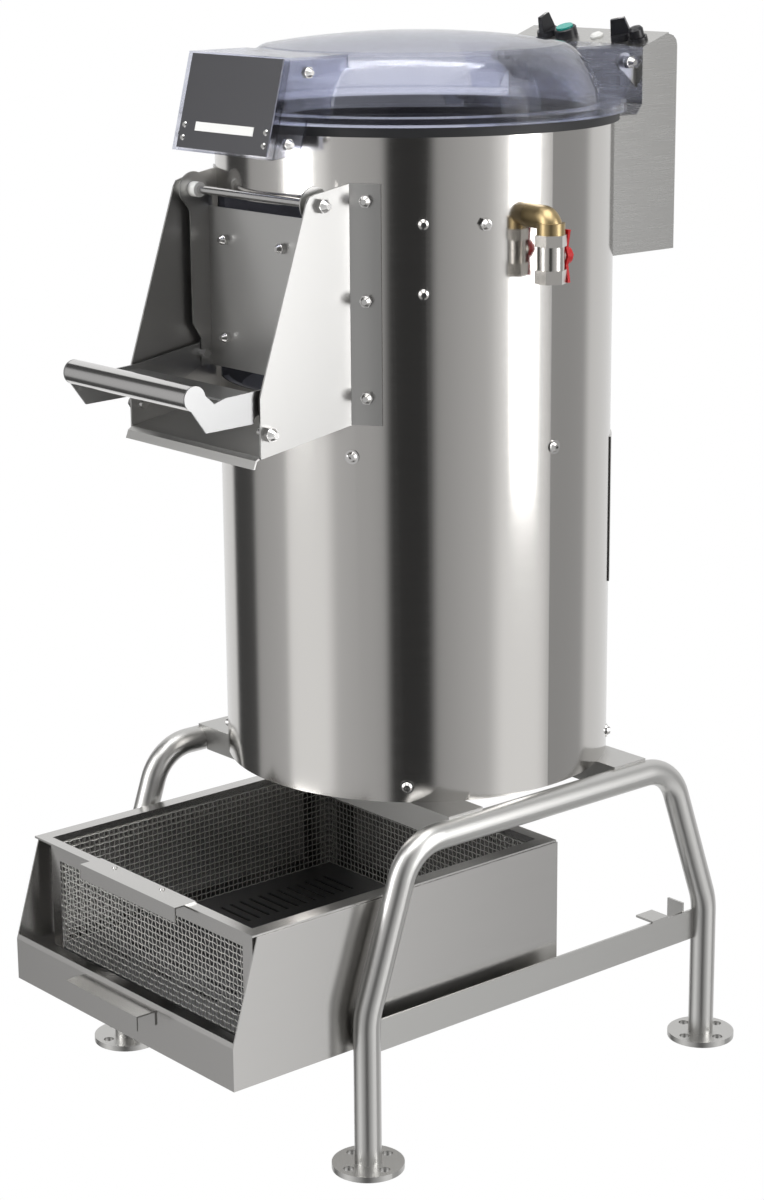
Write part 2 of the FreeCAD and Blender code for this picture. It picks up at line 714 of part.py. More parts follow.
stem_depth = 8.0
start_button = turned(control_places["start_button"],
                      [(0, -stem_depth), (stem_r, -stem_depth), (stem_r, button_travel + 0.5),
                       (button_r - 3, button_travel + 0.5), (button_r - 3, 11), (0, 11)])
nodes["start_button"] = start_button
stop_button = turned(control_places["stop_button"],
                     [(0, -stem_depth), (stem_r, -stem_depth), (stem_r, button_travel + 0.5),
                      (7.5, button_travel + 0.5), (7.5, 12), (5.5, 14.5), (0, 15.5)])
nodes["stop_button"] = stop_button
bezel = turned(control_places["start_button"],
               [(button_r - 2.6, 0), (button_r, 0), (button_r, 8), (button_r - 1, 9), (button_r - 2.6, 9)])
bezel_two = turned(control_places["stop_button"],
                   [(8.0, 0), (10.0, 0), (10.0, 3.5), (8.0, 3.5)])
nodes["button_bezels"] = group([bezel, bezel_two])
nodes["indicator_lamp"] = turned(lamp_place, [(0, -stem_depth), (stem_r, -stem_depth), (stem_r, 0), (7.0, 0),
                                              (7.0, 1.5), (5.0, 3.5), (0, 4.2)])


def pointer_knob(place, heading):
    # Round skirt with a tapered wing grip.
    skirt = turned(place, [(0, -stem_depth), (stem_r, -stem_depth), (stem_r, 0.4), (knob_r, 0.4),
                           (knob_r - 1, 6), (0, 6)])
    half_low = knob_r - 1.5
    half_high = knob_r * 0.62
    wing = [V(-half_low, -3.6, 5), V(half_low, -3.6, 5), V(half_low, 3.6, 5), V(-half_low, 3.6, 5)]
    crest = [V(-half_high, -2.2, knob_height), V(half_high, -2.2, knob_height),
             V(half_high, 2.2, knob_height), V(-half_high, 2.2, knob_height)]
    grip_form = Part.makeLoft([Part.makePolygon(wing + wing[:1]), Part.makePolygon(crest + crest[:1])], True, True)
    grip_form.rotate(V(0, 0, 0), V(0, 0, 1), heading)
    grip_form.rotate(V(0, 0, 0), V(1, 0, 0), math.degrees(math.atan(panel_rise)))
    return skirt.fuse(grip_form.translated(panel_point(*place)))


nodes["power_knob"] = pointer_knob(control_places["power_knob"], 100.0)
nodes["timer_knob"] = pointer_knob(control_places["timer_knob"], 35.0)

bracket_x = hood_half_x - lid_t - 1.0
eye_r = 9.5
tab_points = [(hinge_y - 4, hinge_z - 8),
              (hinge_y + 8, hinge_z - 1),
              (box_front_y, hinge_z - 8),
              (box_front_y, hinge_z - 26)]
tab = side_profile(tab_points, bracket_x - plate, bracket_x)
tab = tab.fuse(rod(eye_r, (bracket_x - plate, hinge_y, hinge_z), (bracket_x, hinge_y, hinge_z)))
tab = tab.cut(rod(hinge_pin_r, (0, hinge_y, hinge_z), (2 * bracket_x, hinge_y, hinge_z)))
foot_tab = box(bracket_x - 20, bracket_x, box_front_y - plate, box_front_y, hinge_z - 26, hinge_z - 9)
tab = tab.fuse(foot_tab).removeSplitter()
nodes["hinge_brackets"] = group([tab, mirrored(tab)])
hinge_pin = rod(hinge_pin_r, (bracket_x - 8, hinge_y, hinge_z), (hood_half_x + 2, hinge_y, hinge_z))
hinge_nut = cap_nut((hood_half_x + running_gap, hinge_y, hinge_z), (1, 0, 0), 12.0)
hinge_head = hexagon(10.0, (bracket_x - plate - 6, hinge_y, hinge_z), (1, 0, 0), 6.0)
hinge_bolt = hinge_pin.fuse(hinge_nut).fuse(hinge_head)
nodes["cap_nuts"] = group(nuts + [hinge_bolt, mirrored(hinge_bolt)])

gland_at = (-60.0, 240.0)
gland = hexagon(22.0, (gland_at[0], gland_at[1], box_bottom), (0, 0, -1), 6.0)
gland = gland.fuse(Part.makeCone(9.5, 7.0, 16, V(gland_at[0], gland_at[1], box_bottom - 6), V(0, 0, -1)))
nodes["cable_gland"] = gland.cut(upright(4.5, box_bottom - 30, box_bottom + 1, *gland_at))
switch_x = 40.0
switch = box(switch_x, switch_x + 30, box_front_y + sheet, box_front_y + sheet + 16, body_top + 6, body_top + 34)
nodes["lid_safety_switch"] = switch

# Water inlet: elbow, ball valve and the nozzle inside
bend_at = around(inlet_angle, inlet_reach, inlet_z)
wall_at = around(inlet_angle, body_r, inlet_z)
inside_at = around(inlet_angle, liner_inner_r + 1, inlet_z)
elbow_bottom = inlet_z - 13.0
elbow_path = bent_path([(wall_at.x, wall_at.y, inlet_z), (bend_at.x, bend_at.y, inlet_z),
                        (bend_at.x, bend_at.y, elbow_bottom)], [11.9])
elbow = swept(elbow_path, pipe_r, (wall_at.x, wall_at.y, inlet_z), outward(inlet_angle))
elbow = elbow.fuse(ring(pipe_r + 2, pipe_r - 2, elbow_bottom - 2, elbow_bottom + 9, bend_at.x, bend_at.y))
elbow_bore = swept(elbow_path, pipe_r - 3, (wall_at.x, wall_at.y, inlet_z), outward(inlet_angle))
elbow = elbow.cut(elbow_bore).cut(upright(pipe_r - 3, elbow_bottom - 3, elbow_bottom + 1, bend_at.x, bend_at.y))
stub = pipe(pipe_r, pipe_r - 3, (inside_at.x, inside_at.y, inlet_z), (wall_at.x, wall_at.y, inlet_z))
nodes["water_elbow"] = max(elbow.fuse(stub).removeSplitter().Solids, key=lambda s: s.Volume)

valve_top = elbow_bottom - 2
valve_z = valve_top - 21.0
valve_low = valve_top - 46.0
hex_across = 27.0
valve = hexagon(hex_across, (bend_at.x, bend_at.y, valve_top), (0, 0, -1), 11.0)
valve = valve.fuse(upright(13.0, valve_low + 12, valve_top - 9, bend_at.x, bend_at.y))
valve = valve.fuse(hexagon(hex_across, (bend_at.x, bend_at.y, valve_low + 13), (0, 0, -1), 13.0))
stem_y = bend_at.y + 12.0
valve = valve.fuse(rod(7.0, (bend_at.x, bend_at.y, valve_z), (bend_at.x, stem_y + 2, valve_z)))
valve = valve.cut(upright(pipe_r - 3.5, valve_low - 1, valve_top + 1, bend_at.x, bend_at.y))
nodes["valve_body"] = valve.removeSplitter()
handle_base_y = stem_y + 2 + running_gap
wing_points = []
for x, z in ((-9, 25), (9, 25), (6, 8), (9, 0), (6, -8), (9, -25), (-9, -25), (-6, -8), (-9, 0), (-6, 8)):
    wing_points.append(V(bend_at.x + x, handle_base_y, valve_z + z * valve_handle_half / 25))
wings = Part.Face(Part.makePolygon(wing_points + wing_points[:1])).extrude(V(0, 3, 0))
hub = rod(8.5, (bend_at.x, handle_base_y, valve_z), (bend_at.x, handle_base_y + 7, valve_z))
nut = hexagon(9.0, (bend_at.x, handle_base_y + 7, valve_z), (0, 1, 0), 4.0)
nodes["valve_handle"] = fuse([wings, hub, nut])
nozzle_out = around(inlet_angle, liner_inner_r - 8, inlet_z)
nodes["spray_nozzle"] = pipe(pipe_r - 1, 5.0, (nozzle_out.x, nozzle_out.y, inlet_z),
                             (inside_at.x, inside_at.y, inlet_z))

# Drive: disc on a shaft in a bearing housing, belt from the motor
housing_low = pulley_z + pulley_height + 8
housing = ring(housing_r, shaft_r + 12, housing_low, chamber_floor_z - 8)
housing = housing.fuse(ring(70.0, shaft_r + 12, chamber_floor_z - 8, chamber_floor_z))
nodes["bearing_housing"] = housing.removeSplitter()
bearing_h = 15.0
bearing_low = ring(shaft_r + 12, shaft_r + fit_gap, housing_low, housing_low + bearing_h)
bearing_high = ring(shaft_r + 12, shaft_r + fit_gap, chamber_floor_z - 24, chamber_floor_z - 24 + bearing_h)
nodes["shaft_bearings"] = group([bearing_low, bearing_high])
nodes["shaft_seal"] = ring(hub_hole_r, shaft_r + fit_gap, chamber_floor_z - 7, chamber_floor_z + 3)
shaft_top = disc_z + disc_wall + 4
disc_shaft = upright(shaft_r, pulley_z - 6, disc_z)
disc_shaft = disc_shaft.fuse(upright(8.0, disc_z, shaft_top))
nodes["disc_shaft"] = disc_shaft.removeSplitter()
disc = upright(disc_r, disc_z, disc_z + disc_wall)
disc = disc.fuse(ring(30.0, shaft_r, disc_z - 8, disc_z))
disc = disc.cut(upright(8.0, disc_z - 1, shaft_top))
wave_count = 3
for i in range(wave_count):
    turn = 360 * i / wave_count
    p = around(turn, disc_r * 0.5, disc_z + disc_wall)
    q = around(turn, disc_r * 0.96, disc_z + disc_wall)
    ridge = rod(9.0, (p.x, p.y, p.z - 4), (q.x, q.y, q.z - 4))
    disc = disc.fuse(ridge)
disc = disc.cut(upright(disc_r + 5, disc_z - 30, disc_z).cut(upright(30.0, disc_z - 30, disc_z)))
disc = disc.common(upright(disc_r, disc_z - 8, disc_z + 40))
nodes["abrasive_disc"] = disc.removeSplitter()


def grooved(r, bore, x, y):
    wheel = ring(r, bore, pulley_z, pulley_z + pulley_height, x, y)
    return wheel.cut(ring(r + 1, r - groove, belt_z - 0.5, belt_z + belt_width + 0.5, x, y))


nodes["driven_pulley"] = grooved(driven_pulley_r, shaft_r, 0, 0)
motor_shaft_r = 9.0
motor_shaft = upright(motor_shaft_r, mount_z - 18, pulley_z + pulley_height + 3, 0, motor_y)
nodes["motor_pulley"] = grooved(motor_pulley_r, motor_shaft_r, 0, motor_y)
nodes["motor_shaft"] = motor_shaft


def belt_loop(inset):
    # A flat loop round both pulleys, drawn from its tangent lines.
    r0 = driven_pulley_r - groove + running_gap + inset
    r1 = motor_pulley_r - groove + running_gap + inset
    lean = math.asin((r0 - r1) / motor_y)
    c, s = math.cos(lean), math.sin(lean)
    a = V(r0 * c, r0 * s, belt_z)
    b = V(r1 * c, motor_y + r1 * s, belt_z)
    top = V(0, motor_y + r1, belt_z)
    d = V(-b.x, b.y, belt_z)
    e = V(-a.x, a.y, belt_z)
    low = V(0, -r0, belt_z)
    edges = [Part.LineSegment(a, b).toShape(), Part.Arc(b, top, d).toShape(),
             Part.LineSegment(d, e).toShape(), Part.Arc(e, low, a).toShape()]
    return Part.Face(Part.Wire(edges)).extrude(V(0, 0, belt_width))


nodes["drive_belt"] = belt_loop(belt_t).cut(belt_loop(0.0))
motor = upright(motor_r, motor_low, mount_z, 0, motor_y)
motor = motor.fuse(box(-24, 24, motor_y - motor_r - 22, motor_y - motor_r + 8, mount_z - 110, mount_z - 40))
motor = motor.cut(upright(motor_shaft_r + fit_gap, mount_z - 20, mount_z + 1, 0, motor_y))
nodes["motor"] = motor.removeSplitter()
bracket_half = 86.0
bracket_t = 4.0
pan_top = body_bottom + 1 + sheet
deck = box(-bracket_half, bracket_half, motor_y - 45, motor_y + 45, mount_z, mount_z + bracket_t)
deck = deck.cut(upright(20.0, mount_z - 1, mount_z + 5, 0, motor_y))
cheeks = []
for s in (1, -1):
    x0 = min(s * bracket_half, s * (bracket_half - bracket_t))
    x1 = x0 + bracket_t
    cheeks.append(box(x0, x1, motor_y - 45, motor_y + 45, pan_top, mount_z))
motor_bracket = fuse([deck] + cheeks)
nodes["motor_bracket"] = motor_bracket

# Drawer: tray with a low slanted front, and the mesh basket inside
slant_points = [(tray_back_y, tray_bottom), (tray_back_y, tray_top), (tray_front_y + tray_slant, tray_top),
                (tray_front_y, tray_bottom + tray_front_height), (tray_front_y, tray_bottom)]
tray_outer = side_profile(slant_points, -tray_half_x, tray_half_x)
tray_room = box(-tray_half_x + sheet, tray_half_x - sheet, tray_front_y + sheet, tray_back_y - sheet,
                tray_bottom + sheet, tray_top + 1)
tray_pan = tray_outer.cut(tray_room)
handle_half = 61.0
handle_depth = 23.0
handle_top = tray_bottom + tray_front_height - 1.0
tray_grip_points = [(tray_front_y, handle_top), (tray_front_y - handle_depth, handle_top),
                    (tray_front_y - handle_depth, handle_top - 15),
                    (tray_front_y - handle_depth + sheet, handle_top - 15),
                    (tray_front_y - handle_depth + sheet, handle_top - sheet),
                    (tray_front_y - sheet, handle_top - sheet), (tray_front_y - sheet, handle_top - 15),
                    (tray_front_y, handle_top - 15)]
nodes["tray_pan"] = tray_pan
nodes["tray_handle"] = side_profile(tray_grip_points, -handle_half, handle_half)

basket_x = tray_half_x - 1.1
basket_y0 = tray_front_y + tray_slant - 5.6
basket_y1 = tray_back_y - 1.0
wall_x = tray_half_x - sheet - basket_flange + 1.0
wall_y0 = basket_y0 + 12.0
wall_y1 = basket_y1 - 14.0
basket_bottom = flange_z - basket_depth
flange_plate = box(-basket_x, basket_x, basket_y0, basket_y1, flange_z, flange_z + plate)
flange_plate = flange_plate.cut(box(-wall_x, wall_x, wall_y0, wall_y1, flange_z - 1, flange_z + 3))
band = 20.0
mesh_t = 2.4
corner = 14.0


def hollow(x, y0, y1, t, z0, z1):
    outer = box(-x - t, x + t, y0 - t, y1 + t, z0, z1)
    return outer.cut(box(-x, x, y0, y1, z0 - 1, z1 + 1))


top_band = hollow(wall_x, wall_y0, wall_y1, sheet, flange_z - band, flange_z)
posts = hollow(wall_x, wall_y0, wall_y1, sheet, basket_bottom, flange_z - band)
posts = posts.cut(box(-wall_x + corner, wall_x - corner, wall_y0 - 9, wall_y1 + 9, basket_bottom - 1, flange_z))
posts = posts.cut(box(-wall_x - 9, wall_x + 9, wall_y0 + corner, wall_y1 - corner, basket_bottom - 1, flange_z))
nodes["basket_frame"] = fuse([flange_plate, top_band, posts])
mesh = hollow(wall_x - mesh_t, wall_y0 + mesh_t, wall_y1 - mesh_t, mesh_t, basket_bottom, flange_z - 6)
nodes["basket_mesh"] = mesh
floor_plate = box(-wall_x, wall_x, wall_y0, wall_y1, basket_bottom - sheet, basket_bottom)
slot_length = 52.0
slot_width = 4.0
slot_pitch = 13.0
rows = 4
row_pitch = 74.0
per_row = 24
for row in range(rows):
    x0 = (row - (rows - 1) / 2) * row_pitch - slot_length / 2
    for i in range(per_row):
        y0 = (wall_y0 + wall_y1) / 2 + (i - (per_row - 1) / 2) * slot_pitch - slot_width / 2
        floor_plate = floor_plate.cut(box(x0, x0 + slot_length, y0, y0 + slot_width,
                                          basket_bottom - 2 * sheet, basket_bottom + 1))
nodes["basket_floor"] = floor_plate
lift_half = 80.0
lift_z = flange_z + plate
lift_front = basket_y0 - 14.0
lift_points = [(wall_y0, lift_z), (wall_y0, lift_z + sheet), (lift_front, lift_z + sheet),
               (lift_front, lift_z - 14), (lift_front + sheet, lift_z - 14), (lift_front + sheet, lift_z)]
lift = side_profile(lift_points, -lift_half, lift_half)
for x in (-48.0, 32.0):
    lift = lift.fuse(Part.makeCone(3.2, 2.0, 1.6, V(x, basket_y0 + 6, lift_z + sheet), V(0, 0, 1)))
nodes["basket_handle"] = lift.removeSplitter()

# Move everything so that the middle of the footprint is the origin, then write
whole = Part.makeCompound(list(nodes.values())).BoundBox
shift = V(-(whole.XMin + whole.XMax) / 2, -(whole.YMin + whole.YMax) / 2, -whole.ZMin)
os.makedirs("parts", exist_ok=True)
for name, shape in nodes.items():
    shape.translated(shift).exportStep("parts/" + name + ".step")
print("nodes", len(nodes))
print("drum axis at", round(shift.x, 3), round(shift.y, 3), "size",
      round(whole.XLength, 1), round(whole.YLength, 1), round(whole.ZLength, 1))
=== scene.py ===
import bpy
import math
from mathutils import Matrix, Vector


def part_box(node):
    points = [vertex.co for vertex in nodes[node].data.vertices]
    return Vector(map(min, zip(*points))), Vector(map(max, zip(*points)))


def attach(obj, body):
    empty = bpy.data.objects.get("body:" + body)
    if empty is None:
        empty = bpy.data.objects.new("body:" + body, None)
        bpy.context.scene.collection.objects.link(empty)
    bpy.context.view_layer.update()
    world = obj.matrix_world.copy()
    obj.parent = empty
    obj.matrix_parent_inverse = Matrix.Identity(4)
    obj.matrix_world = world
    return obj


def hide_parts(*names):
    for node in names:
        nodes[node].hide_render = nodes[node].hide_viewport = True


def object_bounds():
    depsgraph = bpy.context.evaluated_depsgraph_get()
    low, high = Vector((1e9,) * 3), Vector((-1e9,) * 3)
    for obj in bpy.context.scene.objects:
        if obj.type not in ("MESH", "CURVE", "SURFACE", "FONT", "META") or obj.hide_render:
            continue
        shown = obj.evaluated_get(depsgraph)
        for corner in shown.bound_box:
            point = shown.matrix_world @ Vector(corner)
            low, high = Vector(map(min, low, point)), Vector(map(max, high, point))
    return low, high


# Electric potato peeler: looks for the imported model, in metres, +Z up, front towards -Y.

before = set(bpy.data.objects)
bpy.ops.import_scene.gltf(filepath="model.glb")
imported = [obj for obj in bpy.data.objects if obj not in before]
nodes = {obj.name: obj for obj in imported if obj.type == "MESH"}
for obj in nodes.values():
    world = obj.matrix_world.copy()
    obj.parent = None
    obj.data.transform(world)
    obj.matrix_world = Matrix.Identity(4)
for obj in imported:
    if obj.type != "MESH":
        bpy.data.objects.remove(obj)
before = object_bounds()


def socket(shader, name, value):
    shader.inputs[name].default_value = value


def finish_of(name, colour, metallic=0.0, rough=0.5):
    # A plain material whose shader nodes are returned for more work.
    mat = bpy.data.materials.new(name)
    mat.use_nodes = True
    tree = mat.node_tree
    shader = tree.nodes["Principled BSDF"]
    socket(shader, "Base Color", (*colour, 1.0))
    socket(shader, "Metallic", metallic)
    socket(shader, "Roughness", rough)
    return mat, tree, shader


def brushed(name, colour, rough, grain, along):
    # Steel with fine lines; along is "Z" for upright lines and "X" for level ones.
    mat, tree, shader = finish_of(name, colour, 1.0, rough)
    where = tree.nodes.new("ShaderNodeTexCoord")
    spread = tree.nodes.new("ShaderNodeMapping")
    noise = tree.nodes.new("ShaderNodeTexNoise")
    ramp = tree.nodes.new("ShaderNodeMapRange")
    bump = tree.nodes.new("ShaderNodeBump")
    stretch = grain * 0.02
    scale = (grain, grain, stretch) if along == "Z" else (stretch, stretch, grain)
    socket(spread, "Scale", scale)
    socket(noise, "Scale", 1.0)
    socket(noise, "Detail", 3.0)
    socket(ramp, "To Min", rough - 0.03)
    socket(ramp, "To Max", rough + 0.04)
    socket(bump, "Strength", 0.02)
    socket(bump, "Distance", 0.0002)
    tree.links.new(where.outputs["Object"], spread.inputs["Vector"])
    tree.links.new(spread.outputs["Vector"], noise.inputs["Vector"])
    tree.links.new(noise.outputs["Fac"], ramp.inputs["Value"])
    tree.links.new(ramp.outputs["Result"], shader.inputs["Roughness"])
    tree.links.new(noise.outputs["Fac"], bump.inputs["Height"])
    tree.links.new(bump.outputs["Normal"], shader.inputs["Normal"])
    return mat


def dress(mat, *names):
    # Gives CAD nodes a material, with edges sharper than 35 degrees kept crisp.
    sharp_edge = math.radians(35.0)
    for name in names:
        mesh = nodes[name].data
        mesh.materials.clear()
        mesh.materials.append(mat)
        mesh.shade_smooth()
        mesh.set_sharp_from_angle(angle=sharp_edge)


def new_mesh(name, points, faces, mat, body):
    mesh = bpy.data.meshes.new(name)
    mesh.from_pydata(points, [], faces)
    mesh.materials.append(mat)
    piece = bpy.data.objects.new(name, mesh)
    bpy.context.scene.collection.objects.link(piece)
    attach(piece, body)
    return piece


# Stand: bent pipe frames, flanges and cross members
# Satin stainless pipe welded to round flanges; the channels carry the drum.
tube_steel = brushed("tube_steel", (0.60, 0.595, 0.58), 0.34, 900, "Z")
dress(tube_steel, "right_leg_frame", "left_leg_frame")
plate_steel = brushed("plate_steel", (0.56, 0.555, 0.54), 0.34, 900, "X")
dress(plate_steel, "foot_flanges", "cross_members", "tray_rails", "hinge_brackets")

# Drum body
# Rolled stainless sheet, brushed level round the drum, on the two cross members.
drum_steel = brushed("drum_steel", (0.60, 0.585, 0.565), 0.13, 1100, "X")
dress(drum_steel, "body_shell", "service_hatch")
inner_steel = brushed("inner_steel", (0.44, 0.44, 0.43), 0.36, 800, "X")
dress(inner_steel, "base_pan", "chamber_floor", "waste_outlet", "motor_bracket")

# Bright fasteners and pins
# Polished stainless screws, cap nuts, the door rod and the latch pins.
bright_steel = finish_of("bright_steel", (0.72, 0.71, 0.70), 1.0, 0.14)[0]
dress(bright_steel, "body_screws", "cap_nuts", "door_fasteners", "lid_fasteners",
      "door_pivot_rod", "latch_pins", "disc_shaft", "motor_shaft", "shaft_bearings")

# Peeling surfaces
# Dark grit bonded to the liner and to the turning disc.
grit, grit_tree, grit_shader = finish_of("grit", (0.055, 0.055, 0.06), 0.0, 0.85)
grit_noise = grit_tree.nodes.new("ShaderNodeTexNoise")
socket(grit_noise, "Scale", 900.0)
grit_bump = grit_tree.nodes.new("ShaderNodeBump")
socket(grit_bump, "Strength", 0.7)
socket(grit_bump, "Distance", 0.001)
grit_tree.links.new(grit_noise.outputs["Fac"], grit_bump.inputs["Height"])
grit_tree.links.new(grit_bump.outputs["Normal"], grit_shader.inputs["Normal"])
dress(grit, "abrasive_liner", "abrasive_disc")

# Rubber
# Black rim gasket under the lid, the shaft seal and the drive belt.
rubber = finish_of("rubber", (0.012, 0.012, 0.013), 0.0, 0.55)[0]
dress(rubber, "rim_gasket", "shaft_seal", "drive_belt")

# Drive inside the drum
# Cast pulleys and bearing housing, and the painted motor on its bracket.
cast = finish_of("cast_metal", (0.36, 0.37, 0.38), 0.9, 0.5)[0]
dress(cast, "driven_pulley", "motor_pulley", "bearing_housing")
dress(finish_of("motor_paint", (0.045, 0.07, 0.10), 0.0, 0.4)[0], "motor")

# Chute, spout and door
# Flat stainless sheet, brushed upright, screwed round the opening of the drum.
chute_steel = brushed("chute_steel", (0.50, 0.495, 0.485), 0.33, 1000, "Z")
dress(chute_steel, "right_chute_side", "left_chute_side", "door_panel")
dress(plate_steel, "chute_spout")
nylon = finish_of("nylon", (0.80, 0.80, 0.77), 0.0, 0.4)[0]
dress(nylon, "door_bushes")

# Latch of the chute door
# Sheet lever with a half round polished handle.
latch_steel = brushed("latch_steel", (0.42, 0.42, 0.42), 0.3, 900, "X")
dress(latch_steel, "latch_lever")
dress(bright_steel, "latch_handle")

# Lid
# Clear formed plastic with a faint violet tint and pale cut edges.
clear, clear_tree, clear_shader = finish_of("clear_lid", (0.92, 0.93, 0.97), 0.0, 0.04)
socket(clear_shader, "Transmission Weight", 1.0)
socket(clear_shader, "IOR", 1.42)
see = clear_tree.nodes.new("ShaderNodeBsdfTransparent")
socket(see, "Color", (0.90, 0.91, 0.965, 1.0))
blend = clear_tree.nodes.new("ShaderNodeMixShader")
facing = clear_tree.nodes.new("ShaderNodeLayerWeight")
socket(facing, "Blend", 0.28)
share = clear_tree.nodes.new("ShaderNodeMapRange")
socket(share, "To Min", 0.16)
socket(share, "To Max", 0.85)
clear_out = clear_tree.nodes["Material Output"]
clear_tree.links.new(facing.outputs["Facing"], share.inputs["Value"])
clear_tree.links.new(share.outputs["Result"], blend.inputs["Fac"])
clear_tree.links.new(see.outputs["BSDF"], blend.inputs[1])
clear_tree.links.new(clear_shader.outputs["BSDF"], blend.inputs[2])
clear_tree.links.new(blend.outputs["Shader"], clear_out.inputs["Surface"])
dress(clear, "lid_shell")
visor_steel = brushed("visor_steel", (0.17, 0.17, 0.18), 0.30, 900, "X")
dress(visor_steel, "visor_plate")
dress(finish_of("label_white", (0.82, 0.82, 0.80), 0.0, 0.5)[0], "visor_label")

# Control box
# Brushed sheet box behind the drum with a sloping panel.
box_steel = brushed("box_steel", (0.55, 0.545, 0.53), 0.26, 1000, "X")
dress(box_steel, "control_box", "control_panel")
black = finish_of("black_plastic", (0.014, 0.014, 0.016), 0.0, 0.32)[0]
dress(black, "power_knob", "timer_knob", "stop_button", "button_bezels", "cable_gland",
      "lid_safety_switch")
dress(finish_of("start_green", (0.02, 0.30, 0.25), 0.0, 0.22)[0], "start_button")
lamp, lamp_tree, lamp_shader = finish_of("lamp_lens", (0.85, 0.85, 0.82), 0.0, 0.15)
socket(lamp_shader, "Transmission Weight", 0.25)
dress(lamp, "indicator_lamp")

# White pointer lines on the two wing knobs
# Paint along one half of each grip's crest, just above its face.
pointer_white = finish_of("pointer_white", (0.85, 0.85, 0.83), 0.0, 0.5)[0]


def pointer(node, body, heading):
    # The line lies on the middle of the crest, found as the knob's highest face along its axis.
    panel_rise = 0.3547
    tilt = math.atan(panel_rise)
    axis = Vector((0.0, -math.sin(tilt), math.cos(tilt)))
    reach = max(v.co.dot(axis) for v in nodes[node].data.vertices)
    crest = [v.co for v in nodes[node].data.vertices if v.co.dot(axis) > reach - 0.0001]
    middle = Vector([(min(c[i] for c in crest) + max(c[i] for c in crest)) / 2 for i in range(3)])
    turn = Matrix.Rotation(tilt, 3, "X") @ Matrix.Rotation(math.radians(heading), 3, "Z")
    inner, outer, half_width, lift = 0.0008, 0.0068, 0.0006, 0.00005
    corners = [(inner, -half_width, lift), (outer, -half_width, lift),
               (outer, half_width, lift), (inner, half_width, lift)]
    points = [middle + turn @ Vector(c) for c in corners]
    new_mesh(node + "_pointer", points, [(0, 1, 2, 3)], pointer_white, body)


pointer("power_knob", "power", 100.0)
pointer("timer_knob", "timer", 35.0)

# Water inlet
# Dull brass elbow and nozzle, nickel valve body, red butterfly handle.
brass = finish_of("dull_brass", (0.42, 0.32, 0.17), 1.0, 0.36)[0]
dress(brass, "water_elbow", "spray_nozzle")
dress(finish_of("nickel", (0.60, 0.58, 0.55), 1.0, 0.22)[0], "valve_body")
dress(finish_of("handle_red", (0.50, 0.012, 0.014), 0.0, 0.3)[0], "valve_handle")

# Drawer
# Brushed sheet tray with a bent handle, on the two rails of the stand.
tray_steel = brushed("tray_steel", (0.60, 0.59, 0.575), 0.22, 1000, "X")
dress(tray_steel, "tray_pan", "tray_handle", "basket_frame", "basket_handle")
dress(brushed("floor_steel", (0.16, 0.16, 0.165), 0.4, 900, "X"), "basket_floor")

# Basket mesh
# Woven steel wire at a pitch of about six millimetres, crimped over and under,
# held by the corner strips and the top band of the basket.
wire_steel = finish_of("wire_steel", (0.80, 0.79, 0.76), 1.0, 0.34)[0]
mesh_low, mesh_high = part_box("basket_mesh")
wire_r = 0.0006
pitch = 0.0062
crimp = 0.0007
wall_in = 0.0012


def woven_wall(start, along, up, length, height, across):
    # Wires both ways over a flat wall, as crimped square-section strands.
    points, faces = [], []
    columns = int(length / pitch)
    rows = int(height / pitch)

    def strand(path):
        first = len(points)
        for i, at in enumerate(path):
            ahead = path[min(i + 1, len(path) - 1)] - path[max(i - 1, 0)]
            side = ahead.cross(across).normalized()
            out = side.cross(ahead).normalized()
            for a, b in ((1, 0), (0, 1), (-1, 0), (0, -1)):
                points.append(at + side * (wire_r * a) + out * (wire_r * b))
        for i in range(len(path) - 1):
            for k in range(4):
                a = first + 4 * i + k
                b = first + 4 * i + (k + 1) % 4
                faces.append((a, b, b + 4, a + 4))

    column_gap = length / columns
    row_gap = height / rows
    for c in range(columns + 1):
        path = []
        for r in range(rows + 1):
            sign = 1 if (c + r) % 2 else -1
            path.append(start + along * (c * column_gap) + up * (r * row_gap) + across * (crimp * sign))
        strand(path)
    for r in range(rows + 1):
        path = []
        for c in range(columns + 1):
            sign = -1 if (c + r) % 2 else 1
            path.append(start + along * (c * column_gap) + up * (r * row_gap) + across * (crimp * sign))
        strand(path)
    return points, faces


east, north, sky = Vector((1, 0, 0)), Vector((0, 1, 0)), Vector((0, 0, 1))
mesh_height = mesh_high.z - mesh_low.z - 2 * wire_r
mesh_foot = mesh_low.z + wire_r
left_x, right_x = mesh_low.x + wall_in, mesh_high.x - wall_in
front_y, rear_y = mesh_low.y + wall_in, mesh_high.y - wall_in
walls = [(Vector((left_x, front_y, mesh_foot)), east, right_x - left_x, north),
         (Vector((left_x, rear_y, mesh_foot)), east, right_x - left_x, north),
         (Vector((left_x, front_y, mesh_foot)), north, rear_y - front_y, east),
         (Vector((right_x, front_y, mesh_foot)), north, rear_y - front_y, east)]
weave_points, weave_faces = [], []
for start, along, length, across in walls:
    points, faces = woven_wall(start, along, sky, length, mesh_height, across)
    first = len(weave_points)
    weave_points += points
    weave_faces += [tuple(i + first for i in face) for face in faces]
weave = new_mesh("woven_mesh", weave_points, weave_faces, wire_steel, "basket")
weave.data.shade_smooth()
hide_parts("basket_mesh")

